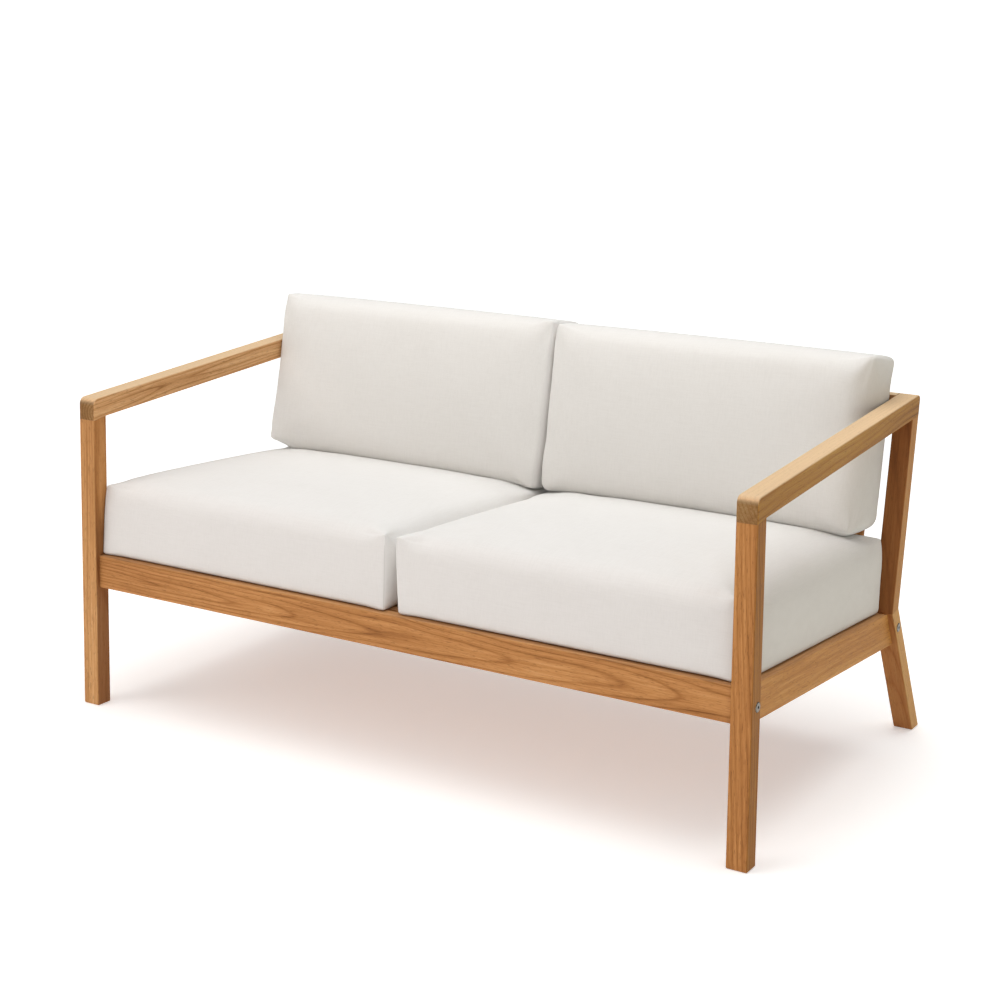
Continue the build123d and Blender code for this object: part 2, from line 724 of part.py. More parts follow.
# Screws: countersunk, through the slats and through the ledgers
with BuildPart() as slat_screws:
    with BuildSketch(seat_plane):
        with Locations(*[(x, y) for y in seat_slat_places for x in (-slat_screw_x, 0, slat_screw_x)]):
            Circle(screw_head_diameter / 2)
    extrude(amount=-screw_cone_height, taper=screw_taper)
    with BuildSketch(seat_plane.offset(-screw_cone_height)):
        with Locations(*[(x, y) for y in seat_slat_places for x in (-slat_screw_x, 0, slat_screw_x)]):
            Circle(screw_diameter / 2)
    extrude(amount=-(screw_length - screw_cone_height))
slat_screws.part.label = "slat_screws"
export_step(slat_screws.part, "parts/slat_screws.step")

with BuildPart() as ledger_screws:
    for side in sides.values():
        with BuildSketch(Plane.YZ.offset(side * ledger_face_x)):
            with Locations(*ledger_screw_places):
                Circle(screw_head_diameter / 2)
        extrude(amount=side * screw_head_height)
        with BuildSketch(Plane.YZ.offset(side * ledger_face_x)):
            with Locations(*ledger_screw_places):
                Circle(screw_diameter / 2)
        extrude(amount=side * ledger_screw_length)
ledger_screws.part.label = "ledger_screws"
export_step(ledger_screws.part, "parts/ledger_screws.step")


def cushion_outline(corners, radii, crowns):
    """Four-sided outline with rounded corners. Each side bows outward by its crown."""
    corners = [Vector(*corner) for corner in corners]
    count = len(corners)
    along = [(corners[(i + 1) % count] - corners[i]).normalized() for i in range(count)]
    for i in range(count):
        after = (i + 1) % count
        start = corners[i] + along[i] * radii[i]
        end = corners[after] - along[i] * radii[after]
        outward = Vector(along[i].Y, -along[i].X)
        if crowns[i]:
            ThreePointArc(start, (start + end) / 2 + outward * crowns[i], end)
        else:
            Line(start, end)
        centre = corners[after] + (along[after] - along[i]) * radii[after]
        bend = centre + (corners[after] - centre).normalized() * radii[after]
        ThreePointArc(end, bend, corners[after] + along[after] * radii[after])


def cushion_steps(low_x, high_x, more=()):
    """X of each section of a cushion, with its share of the shrink and of the crown."""
    half = (high_x - low_x) / 2
    turns = [radians(90) * number / side_round_steps for number in range(side_round_steps + 1)]
    insets = [side_round * (1 - cos(turn)) for turn in turns]
    insets += [side_round + (half - side_round) * share for share in crown_step_shares]
    places = [low_x + inset for inset in insets] + [high_x - inset for inset in insets]
    steps = []
    for x in sorted([*places, (low_x + high_x) / 2, *more]):
        inset = min(x - low_x, high_x - x)
        turned = max(1 - inset / side_round, 0)
        steps.append((x, 1 - sqrt(1 - turned**2), 1 - (1 - inset / half) ** crown_power))
    return steps


# Seat cushions: on the slats, boxed, crowned on top, drawn in at the sides. Between the
# legs the outer side stands out over the side rail, and at the front leg it is squeezed in
for name, side in sides.items():
    near_x = seat_cushion_gap / 2
    far_x = inner_half + seat_side_bulge
    squeeze_x = inner_half - cushion_side_gap
    squeezed_steps = [side * squeeze_x, side * (squeeze_x + seat_squeeze_run)]
    low_x, high_x = (near_x, far_x) if side > 0 else (-far_x, -near_x)
    with BuildPart() as seat_cushion:
        for x, shrink_share, crown_share in cushion_steps(low_x, high_x, squeezed_steps):
            shrink = side_shrink * shrink_share
            section_plane = Plane(
                origin=(x, leg_rear_y, seat_rail_top),
                x_dir=(0, cos(pitch), -sin(pitch)),
                z_dir=(1, 0, 0),
            )
            front = shrink - seat_cushion_front_reach
            if abs(x) > squeeze_x:
                front = shrink + cushion_leg_gap
            rear = seat_cushion_depth - seat_cushion_front_reach - shrink
            top = seat_cushion_height - shrink
            low = cushion_gap + shrink * seat_low_rise_share
            with BuildSketch(section_plane):
                with BuildLine():
                    cushion_outline(
                        [(front, low), (rear, low), (rear, top), (front, top)],
                        [seat_low_radius, seat_low_radius, seat_rear_top_radius, seat_front_top_radius],
                        [0, 0, seat_crown * crown_share, seat_front_crown * crown_share],
                    )
                make_face()
        loft(ruled=True)
    seat_cushion.part.label = f"seat_cushion_{name}"
    export_step(seat_cushion.part, f"parts/seat_cushion_{name}.step")

# Back cushions: stand on the seat cushions and lean on the top rail
for name, side in sides.items():
    near_x = back_cushion_gap / 2
    far_x = inner_half - back_cushion_side_gap
    low_x, high_x = (near_x, far_x) if side > 0 else (-far_x, -near_x)
    with BuildPart() as back_cushion:
        for x, shrink_share, crown_share in cushion_steps(low_x, high_x):
            shrink = side_shrink * shrink_share
            section_plane = Plane(
                origin=(x, back_foot_y, back_foot_z),
                x_dir=(0, cos(lean), -sin(lean)),
                z_dir=(1, 0, 0),
            )
            front = shrink - back_cushion_thickness
            rear = -shrink
            top = back_cushion_height - shrink
            low_front = front * tan(lean - pitch) + shrink
            with BuildSketch(section_plane):
                with BuildLine():
                    cushion_outline(
                        [(front, low_front), (rear, shrink), (rear, top), (front, top)],
                        [back_low_radius, back_low_radius, back_rear_top_radius, back_front_top_radius],
                        [0, 0, back_end_crown * crown_share, back_crown * crown_share],
                    )
                make_face()
        loft(ruled=True)
    back_cushion.part.label = f"back_cushion_{name}"
    export_step(back_cushion.part, f"parts/back_cushion_{name}.step")
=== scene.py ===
# Looks of the two-seat garden sofa, in metres, in the same frame as the CAD.
from math import cos, pi, radians, sin, tan
import bpy
import numpy as np
from mathutils import Matrix, Vector


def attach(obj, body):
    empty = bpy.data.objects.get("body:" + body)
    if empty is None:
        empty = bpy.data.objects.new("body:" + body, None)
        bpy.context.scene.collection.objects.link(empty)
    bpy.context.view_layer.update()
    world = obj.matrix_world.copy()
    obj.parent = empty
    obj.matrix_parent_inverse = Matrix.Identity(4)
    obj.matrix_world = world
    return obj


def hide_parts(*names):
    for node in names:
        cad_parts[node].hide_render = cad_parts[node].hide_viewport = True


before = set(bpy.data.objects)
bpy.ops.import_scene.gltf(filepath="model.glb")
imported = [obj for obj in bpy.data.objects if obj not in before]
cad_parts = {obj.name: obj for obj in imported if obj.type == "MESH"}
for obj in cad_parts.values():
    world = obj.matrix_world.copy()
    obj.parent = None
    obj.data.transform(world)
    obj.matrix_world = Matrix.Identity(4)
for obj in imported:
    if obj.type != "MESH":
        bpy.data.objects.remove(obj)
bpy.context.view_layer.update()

# The frame's own sizes that the cushions and the grain follow
LEG_REAR_Y = -0.3689  # rear face of the front legs
SEAT_TOP_Z = 0.3045  # top of the seat slats at that face
SEAT_PITCH = radians(3.72)
BACK_LEAN = radians(10.3)
KICK = radians(27.4)  # slant of the rear legs below their bend
ARM_RISE = radians(4.06)
BEND = Vector((0, 0.2453, 0.2703))  # in the middle of the rear legs
KINK_Y, KINK_Z = 0.2291, 0.268  # the bend on their front face
BACK_BEHIND = 0.0035  # of the back cushions' rear face, behind the line of that front face
SEAT_THICK = 0.141
SEAT_CROWN_AT_BACK = 0.021 * 0.38  # rise of the CAD seat cushion under the foot of the back cushion
LAID_GAP = 0.0003  # between a cushion and what it lies on


# ---- Camera at the photograph's viewing angle ----
def make_camera():
    yaw, pitch, roll = 0.551, 0.14, 0.013
    place = (1.91376, -3.1263, 1.34192)
    forward = Vector((-sin(yaw) * cos(pitch), cos(yaw) * cos(pitch), -sin(pitch)))
    right = Vector((cos(yaw), sin(yaw), 0))
    up = right.cross(forward)
    rolled_right = right * cos(roll) + up * sin(roll)
    rolled_up = up * cos(roll) - right * sin(roll)
    data = bpy.data.cameras.new("camera")
    data.lens = 69.48
    data.sensor_width = 36
    data.shift_y = -0.2
    data.clip_start = 0.1
    camera = bpy.data.objects.new("camera", data)
    turn = Matrix((rolled_right, rolled_up, -forward)).transposed().to_4x4()
    camera.matrix_world = Matrix.Translation(place) @ turn
    bpy.context.collection.objects.link(camera)
    bpy.context.scene.camera = camera


# ---- Small helpers for node materials ----
class Tree:
    """A material's nodes, with short ways to add and link them."""

    def __init__(self, name):
        self.material = bpy.data.materials.new(name)
        self.material.use_nodes = True
        self.tree = self.material.node_tree
        self.shader = self.tree.nodes["Principled BSDF"]

    def node(self, kind, inputs=None, **settings):
        made = self.tree.nodes.new("ShaderNode" + kind)
        for key, value in settings.items():
            setattr(made, key, value)
        for key, value in (inputs or {}).items():
            self.put(made.inputs[key], value)
        return made

    def put(self, socket, value):
        if isinstance(value, bpy.types.NodeSocket):
            self.tree.links.new(value, socket)
        else:
            socket.default_value = value

    def math(self, operation, *values, clamp=False):
        made = self.node("Math", dict(enumerate(values)), operation=operation, use_clamp=clamp)
        return made.outputs[0]

    def swing(self, value, share, base, clamp=False):
        """Adds a share of how far a value lies from its middle."""
        return self.math("MULTIPLY_ADD", self.math("SUBTRACT", value, 0.5), share, base, clamp=clamp)

    def vector(self, operation, first, second):
        made = self.node("VectorMath", {0: first, 1: second}, operation=operation)
        return made.outputs["Value" if operation in ("LENGTH", "DOT_PRODUCT") else "Vector"]

    def parts(self, source):
        return self.node("SeparateXYZ", {0: source}).outputs

    def joined(self, values):
        return self.node("CombineXYZ", dict(enumerate(values))).outputs[0]

    def place(self, source, rotation=(0, 0, 0), scale=(1, 1, 1)):
        return self.node("Mapping", {"Vector": source, "Rotation": rotation, "Scale": scale}).outputs[0]

    def noise(self, source, scale, detail=2.0, roughness=0.5, output="Fac"):
        spread = self.place(source, scale=scale)
        inputs = {"Vector": spread, "Scale": 1.0, "Detail": detail, "Roughness": roughness}
        return self.node("TexNoise", inputs).outputs[output]

    def ramp(self, source, stops):
        made = self.node("ValToRGB", {"Fac": source})
        elements = made.color_ramp.elements
        while len(elements) < len(stops):
            elements.new(0.5)
        for element, (place, colour) in zip(elements, stops):
            element.position = place
            element.color = (*colour, 1) if isinstance(colour, tuple) else (colour, colour, colour, 1)
        return made.outputs["Color"]

    def mix(self, share, colour, other, blend="MIX"):
        made = self.node("Mix", data_type="RGBA", blend_type=blend)
        for index, value in ((0, share), (6, colour), (7, (*other, 1))):
            self.put(made.inputs[index], value)
        return made.outputs[2]

    def tint(self, share, colour, by):
        return self.mix(share, colour, by, "MULTIPLY")

    def bump(self, height, strength, distance):
        inputs = {"Strength": strength, "Distance": distance, "Height": height}
        return self.node("Bump", inputs).outputs[0]

    def finish(self, **sockets):
        for name, value in sockets.items():
            self.put(self.shader.inputs[name.replace("_", " ")], value)
        return self.material


# ---- Teak: a solid texture of rings, streaks, fibres and pores along one direction ----
TEAK_STOPS = [
    (0.05, (0.190, 0.066, 0.015)),
    (0.35, (0.378, 0.152, 0.043)),
    (0.60, (0.508, 0.226, 0.071)),
    (0.95, (0.670, 0.360, 0.142)),
]
RING_STOPS = [(0.0, 0.10), (0.12, 0.46), (0.55, 0.66), (0.88, 0.55), (1.0, 0.10)]
RINGS_PER_METRE = 150.0
TRUNK_TAPER = 0.035
WANDER = 0.034  # of the grain, to each side
# Each noise: scales along and across the grain, detail, roughness
WANDER_NOISE = ((1.7, 8, 8), 2.0, 0.5)
STREAK_NOISE = ((3.0, 170, 170), 5.0, 0.68)
BROAD_NOISE = ((1.1, 16, 16), 2.0, 0.5)
FIBRE_NOISE = ((26, 820, 820), 2.0, 0.55)
PORE_NOISE = ((75, 950, 950), 1.0, 0.5)
STREAK_SHARE, BROAD_SHARE, FIBRE_SHARE = 0.80, 0.75, 0.45
PORE_SHARE, PORE_LESS_ON_TOP = 0.42, 0.6
# Painted light that makes the top faces pale
PAINTED_TOP_LIGHT = (0.77, 0.61, 0.395)
END_GRAIN = (0.52, 0.58, 0.62)
PORE = (0.085, 0.030, 0.010)


def turned(t, value, direction):
    """A vector seen along the grain: its first part runs along it, the others across."""
    side = Vector((1, 0, 0)) if abs(direction.x) < 0.5 else Vector((0, 0, 1))
    across = direction.cross(side).normalized()
    axes = (direction, across, direction.cross(across))
    return t.joined([t.vector("DOT_PRODUCT", value, axis) for axis in axes])


def teak(name, along, offset=(0, 0, 0), pith=(0.11, 0.07), tone=0.0, shuffle=True, bend=None,
         painted_low_light=0.0, painted_side_shading=(0.92, 0.88, 0.66), painted_front_shading=(1, 1, 1), top_light_share=0.12,
         drift=(0, 1, 0), figure=0.45, lit_above=None):
    """Teak with its grain in the direction along.

    offset and pith place the board in the trunk, and shuffle gives each piece a board of its own.
    bend is a point and a second direction, which the grain takes below that point, painted_low_light
    lighter:
    it is painted light, which makes the wood below the bend lighter. tone is how light the board is,
    and drift changes it: from a place along the grain on, over a length, by an amount. figure is the
    contrast of the rings, and bleach how pale the top is: it is painted light on the top faces.
    painted_side_shading and painted_front_shading are painted shading, which makes the side and the front
    faces darker or lighter. lit_above is for a leg whose right side alone gets the painted side shading,
    and less above that height, beside a pale cushion, as if the cushion lit it.
    """
    t = Tree(name)
    coordinates = t.node("TexCoord").outputs
    source, facing = coordinates["Object"], coordinates["Normal"]
    along = Vector(along).normalized()
    end_grain = t.math("ABSOLUTE", t.vector("DOT_PRODUCT", facing, along))
    end_grain = t.ramp(end_grain, [(0.75, 0.0), (0.95, 1.0)])
    if bend:
        point, low_along = bend
        from_bend = t.vector("SUBTRACT", source, point)
        halfway = (along + low_along).normalized()
        above = t.math("GREATER_THAN", t.vector("DOT_PRODUCT", from_bend, halfway), 0.0)
        chosen = t.node("Mix", data_type="VECTOR")
        low_grain, high_grain = turned(t, from_bend, low_along), turned(t, from_bend, along)
        for index, value in ((0, above), (4, low_grain), (5, high_grain)):
            t.put(chosen.inputs[index], value)
        grain = chosen.outputs[1]
        # Painted light: the wood below the bend is made lighter
        tone = t.math("MULTIPLY_ADD", t.math("SUBTRACT", 1.0, above), painted_low_light, tone)
    else:
        grain = turned(t, source, along)
    grain = t.vector("ADD", grain, offset)
    board = grain
    if shuffle:
        chance = t.node("ObjectInfo").outputs["Random"]
        shift = t.joined([t.math("MULTIPLY", chance, reach) for reach in (7.3, 0.9, 0.5)])
        board = t.vector("ADD", grain, shift)

    wander = t.vector("SUBTRACT", t.noise(board, *WANDER_NOISE, "Color"), (0.5, 0.5, 0.5))
    wander = t.vector("MULTIPLY", wander, (0, WANDER, WANDER))
    bent = t.vector("ADD", board, wander)
    length, across, depth = t.parts(t.vector("ADD", t.vector("ADD", grain, wander), (0, *pith)))
    across = t.math("MULTIPLY_ADD", length, TRUNK_TAPER, across)
    squares = t.math("ADD", t.math("POWER", across, 2.0), t.math("POWER", depth, 2.0))
    rings = t.math("FRACT", t.math("MULTIPLY", t.math("SQRT", squares), RINGS_PER_METRE))
    rings = t.ramp(rings, RING_STOPS)
    fibres = t.noise(bent, *FIBRE_NOISE)
    pores = t.ramp(t.noise(bent, *PORE_NOISE), [(0.62, 0.0), (0.69, 1.0)])

    drift_from, drift_length, drift_amount = drift
    drifted = t.math("DIVIDE", t.math("SUBTRACT", length, drift_from), drift_length, clamp=True)
    level = t.math("MULTIPLY_ADD", drifted, drift_amount, t.math("ADD", tone, 0.5))
    level = t.swing(t.noise(bent, *STREAK_NOISE), STREAK_SHARE, level)
    level = t.swing(rings, figure, level)
    level = t.swing(t.noise(board, *BROAD_NOISE), BROAD_SHARE, level)
    level = t.swing(fibres, FIBRE_SHARE, level, clamp=True)
    colour = t.ramp(level, TEAK_STOPS)

    to_right, to_rear, to_top = t.parts(facing)
    upward = t.math("MAXIMUM", to_top, 0.0)
    forward = t.math("MAXIMUM", t.math("MULTIPLY", to_rear, -1.0), 0.0)
    # Painted shading on the side faces: with lit_above, only on the right side, and less above that height,
    # as if lit by the pale cushion beside the leg
    if lit_above is None:
        sideways = t.math("ABSOLUTE", to_right)
    else:
        lit = t.math("SUBTRACT", t.parts(source)[2], lit_above)
        lit = t.math("DIVIDE", lit, 0.08, clamp=True)
        sideways = t.math("MAXIMUM", to_right, 0.0)
        sideways = t.math("MULTIPLY", sideways, t.math("MULTIPLY_ADD", lit, -0.80, 1.0))
    colour = t.tint(sideways, colour, painted_side_shading)
    # Painted shading on the front faces
    colour = t.tint(forward, colour, painted_front_shading)
    # Painted light on the top faces
    colour = t.mix(t.math("MULTIPLY", upward, top_light_share), colour, PAINTED_TOP_LIGHT)
    colour = t.tint(end_grain, colour, END_GRAIN)
    pores = t.math("MULTIPLY", pores, t.math("MULTIPLY_ADD", upward, -PORE_LESS_ON_TOP, 1.0))
    colour = t.mix(t.math("MULTIPLY", pores, PORE_SHARE), colour, PORE)
    rough = t.math("MULTIPLY_ADD", fibres, 0.20, 0.42)
    height = t.math("SUBTRACT", t.math("MULTIPLY", fibres, 0.6), t.math("MULTIPLY", pores, 0.8))
    return t.finish(Base_Color=colour, Roughness=rough, Normal=t.bump(height, 0.35, 0.0004),
                    Specular_IOR_Level=0.10)


# ---- Canvas: a plain weave at its real size, slubs, painted shade on the fronts and outer sides, and a dark line of painted shade along each seam ----
CANVAS_STOPS = [
    (0.15, (0.690, 0.674, 0.645)),
    (0.50, (0.735, 0.721, 0.694)),
    (0.85, (0.765, 0.753, 0.728)),
]
THREAD_WAVE = 0.0021  # over two threads
WEAVE_SHARE, MOTTLE_SHARE = 0.13, 0.25
# Painted shade on the outer side of the right-hand cushions
OUTER_SIDE_SHADE = (0.80, 0.765, 0.70)
INNER_PALE = (0.97, 0.93, 0.90)
# Painted shade of the seams' grooves
SEAM_SHADE = (0.42, 0.38, 0.33)


def canvas(name, tilt, painted_front_shading):
    """Woven canvas whose threads run along a cushion that is tilted about the X axis."""
    t = Tree(name)
    turn = (tilt, 0, 0)
    coordinates = t.node("TexCoord").outputs
    cloth = t.place(coordinates["Object"], rotation=turn)
    facing = t.parts(t.place(coordinates["Normal"], rotation=turn))
    threads = [t.math("SINE", t.math("MULTIPLY", axis, 2 * pi / THREAD_WAVE)) for axis in t.parts(cloth)]
    weave = 0.0
    for face, (warp, weft) in ((2, (0, 1)), (1, (0, 2)), (0, (1, 2))):
        crossing = t.math("MULTIPLY", threads[warp], threads[weft])
        weave = t.math("MULTIPLY_ADD", crossing, t.math("POWER", facing[face], 2.0), weave)
    slubs = t.math("ADD", t.noise(cloth, (30, 480, 480), 2.0, 0.6), t.noise(cloth, (480, 30, 60), 2.0, 0.6))
    slubs = t.math("MULTIPLY", slubs, 0.5)
    mottle = t.noise(cloth, (9, 9, 9), 3.0, 0.55)
    level = t.math("MULTIPLY_ADD", weave, WEAVE_SHARE, slubs)
    level = t.swing(mottle, MOTTLE_SHARE, level, clamp=True)
    colour = t.ramp(level, CANVAS_STOPS)

    place_x = t.parts(coordinates["Object"])[0]
    # Painted shade on the outer side of the right-hand cushions
    outer = t.math("MULTIPLY", t.math("GREATER_THAN", place_x, 0.3), facing[0], clamp=True)
    colour = t.tint(outer, colour, OUTER_SIDE_SHADE)
    # Painted shade on the front faces
    colour = t.tint(t.math("MULTIPLY", facing[1], -1.0, clamp=True), colour, painted_front_shading)
    # The sides that face each other are a little paler, where light lingers between them
    inner = t.math("LESS_THAN", t.math("ABSOLUTE", place_x), 0.03)
    inner = t.math("MULTIPLY", inner, t.math("POWER", t.math("ABSOLUTE", facing[0]), 8.0))
    colour = t.mix(t.math("MULTIPLY", inner, 0.45), colour, INNER_PALE)

    distance = t.node("Attribute", attribute_name="seam").outputs["Fac"]
    # The dark line along each seam is painted shade of its groove; the groove itself is the bump below
    line = t.ramp(t.math("MULTIPLY", distance, 250.0), [(0.10, 1.0), (0.32, 0.0)])
    colour = t.mix(t.math("MULTIPLY", line, 0.38), colour, SEAM_SHADE)
    height = t.math("MULTIPLY_ADD", weave, 0.5, slubs)
    height = t.math("MULTIPLY_ADD", line, -2.5, height)
    return t.finish(Base_Color=colour, Roughness=0.88, Normal=t.bump(height, 0.45, 0.0004),
                    Specular_IOR_Level=0.2, Sheen_Weight=0.12, Sheen_Roughness=0.5)


def steel():
    t = Tree("stainless_steel")
    source = t.node("TexCoord").outputs["Object"]
    brushed = t.noise(source, (900, 900, 900), 3.0, 0.6)
    smudge = t.noise(source, (60, 60, 60), 2.0, 0.5)
    rough = t.math("MULTIPLY_ADD", brushed, 0.22, t.math("MULTIPLY", smudge, 0.30))
    colour = t.ramp(smudge, [(0.3, (0.13, 0.115, 0.095)), (0.7, (0.23, 0.205, 0.17))])
    return t.finish(Base_Color=colour, Metallic=1.0, Roughness=rough, Normal=t.bump(brushed, 0.2, 0.0001))


def ground():
    """A pale floor that glows a little, more so far from the sofa. The glow is painted light, which lifts
    the sofa's shadow on the floor.
    """
    t = Tree("floor")
    source = t.node("TexCoord").outputs["Object"]
    cloudy = t.noise(source, (1.5, 1.5, 1.5), 3.0, 0.5)
    colour = t.ramp(cloudy, [(0.3, (0.88, 0.87, 0.85)), (0.7, (0.90, 0.89, 0.87))])
    # Painted light: the floor glows, less near the sofa than far from it, and so lifts the sofa's shadow
    away = t.math("MULTIPLY", t.vector("LENGTH", source, (0, 0, 0)), 0.2)
    painted_floor_light = t.ramp(away, [(0.15, 0.38), (0.9, 0.70)])
    return t.finish(Base_Color=colour, Roughness=0.9, Specular_IOR_Level=0.1,
                    Emission_Color=(0.95, 0.98, 1.0, 1), Emission_Strength=painted_floor_light)


# ---- Wood and steel on the CAD pieces ----
METAL_NODES = ("connector_bolts", "barrel_nuts", "slat_screws", "ledger_screws")


def make_woods():
    """A teak for each group of nodes, by how their names start. The last one is for the others."""
    to_right, upright = (1, 0, 0), (0, 0, 1)
    lean_up = (0, sin(BACK_LEAN), cos(BACK_LEAN))
    kick_up = Vector((0, -sin(KICK), cos(KICK)))
    arm_along = (0, cos(ARM_RISE), sin(ARM_RISE))
    seat_along = (0, cos(SEAT_PITCH), -sin(SEAT_PITCH))
    # painted_side_shading, painted_front_shading, bleach and painted_low_light below are painted light and
    # shade on the faces of the frame
    return {
        "front_rail": teak(
            "teak_front_rail", to_right, (0.4, 0.02, 0.03), (-0.401, 0.242), -0.03, shuffle=False,
            painted_front_shading=(1.0, 1.02, 1.08), drift=(0.65, 0.35, -0.05), figure=0.60),
        "front_leg_left": teak(
            "teak_front_leg_left", upright, (0.1, 0.3, 0.1), (0.3, 0.1), 0.07, shuffle=False,
            painted_side_shading=(0.50, 0.45, 0.44), painted_front_shading=(1.0, 1.08, 1.22), lit_above=0.35),
        "front_leg_right": teak(
            "teak_front_leg_right", upright, (0.6, 0.12, 0.31), (0.4, 0.2), -0.10, shuffle=False,
            painted_side_shading=(0.72, 0.69, 0.38)),
        "arm_left": teak(
            "teak_arm_left", arm_along, (0, 0.1, 0.2), (0.525, -0.872), 0.05, shuffle=False,
            painted_side_shading=(1.10, 1.30, 1.70), top_light_share=0.66, figure=0.7),
        "arm_right": teak(
            "teak_arm_right", arm_along, (1.3, 0.2, 0.1), (0.2, 0.3), 0.05, shuffle=False,
            painted_side_shading=(0.65, 0.66, 0.33), top_light_share=0.66),
        "rear_leg": teak(
            "teak_rear_leg", lean_up, (0.2, 0.1, 0.6), bend=(BEND, kick_up), painted_low_light=0.3,
            painted_side_shading=(0.76, 0.75, 0.56), painted_front_shading=(0.48, 0.36, 0.25)),
        "side_rail": teak(
            "teak_side_rail", seat_along, (0.9, 0.2, 0.5), tone=0.15,
            painted_side_shading=(0.86, 0.85, 0.62), figure=0.20),
        "top_rail": teak("teak_top_rail", to_right, (0.7, 0.6, 0.4), tone=0.10, top_light_share=0.80),
        "ledger": teak("teak_ledger", seat_along, (0.3, 0.8, 0.2)),
        "seat_bearer": teak("teak_bearer", seat_along, (0.7, 0.5, 0.9)),
        "back_slat": teak("teak_back_slat", lean_up, (0.5, 0.1, 0.2)),
        "rail_dowels": teak("dowel_wood", to_right, (0.2, 0.2, 0.2), tone=0.2),
        "": teak("teak_long", to_right, (0.1, 0.6, 0.4)),
    }


def dress_frame():
    woods = make_woods()
    metal = steel()
    for name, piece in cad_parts.items():
        if name in METAL_NODES:
            material = metal
        else:
            material = next(wood for start, wood in woods.items() if name.startswith(start))
        for place in piece.material_slots:
            place.material = material


# ---- Cushions: a box grid, bent into a sewn shape ----
# Distances of the grid lines from both ends, and their step between these
PANEL_LINES = ((0.004, 0.009, 0.015, 0.022, 0.030, 0.040, 0.052), 0.0125)
DEPTH_LINES = ((0.004, 0.009, 0.015, 0.022, 0.030, 0.040), 0.011)
SEAM_END = 0.022  # of the seam on an upright corner, short of the main panel
PIN_SEAM, PIN_PANEL = 0.003, 0.004  # the cloth is held this near a seam and the lower panel


def spaced(low, high, near, step):
    """Grid lines, close together near both ends."""
    inner_low, inner_high = low + near[-1], high - near[-1]
    count = max(2, round((inner_high - inner_low) / step))
    middle = np.linspace(inner_low, inner_high, count + 1)[1:-1]
    near = np.array(near)
    return np.concatenate([[low], low + near, middle, (high - near)[::-1], [high]])


def box_grid(lines):
    """The surface of a box as a grid: corner places and four-sided faces."""
    counts = [len(line) - 1 for line in lines]
    index, places, faces = {}, [], []

    def corner(key):
        if key not in index:
            index[key] = len(places)
            places.append([lines[axis][key[axis]] for axis in range(3)])
        return index[key]

    for axis in range(3):
        first, second = [other for other in range(3) if other != axis]
        for end in (0, counts[axis]):
            for i in range(counts[first]):
                for j in range(counts[second]):
                    keys = []
                    for di, dj in ((0, 0), (1, 0), (1, 1), (0, 1)):
                        key = [0, 0, 0]
                        key[axis], key[first], key[second] = end, i + di, j + dj
                        keys.append(corner(tuple(key)))
                    outward = (end > 0) == (axis != 1)
                    faces.append(keys if outward else keys[::-1])
    return np.array(places), faces


def smooth(value):
    value = np.clip(value, 0, 1)
    return value * value * (3 - 2 * value)


def rising(value, start, length):
    """From 0 where it starts to 1 over a length, with soft ends."""
    return smooth((value - start) / length)


def zone(distance, radius):
    """From 0 at a radius away, or further, to 1 at no distance."""
    return np.clip(1 - distance / radius, 0, 1)


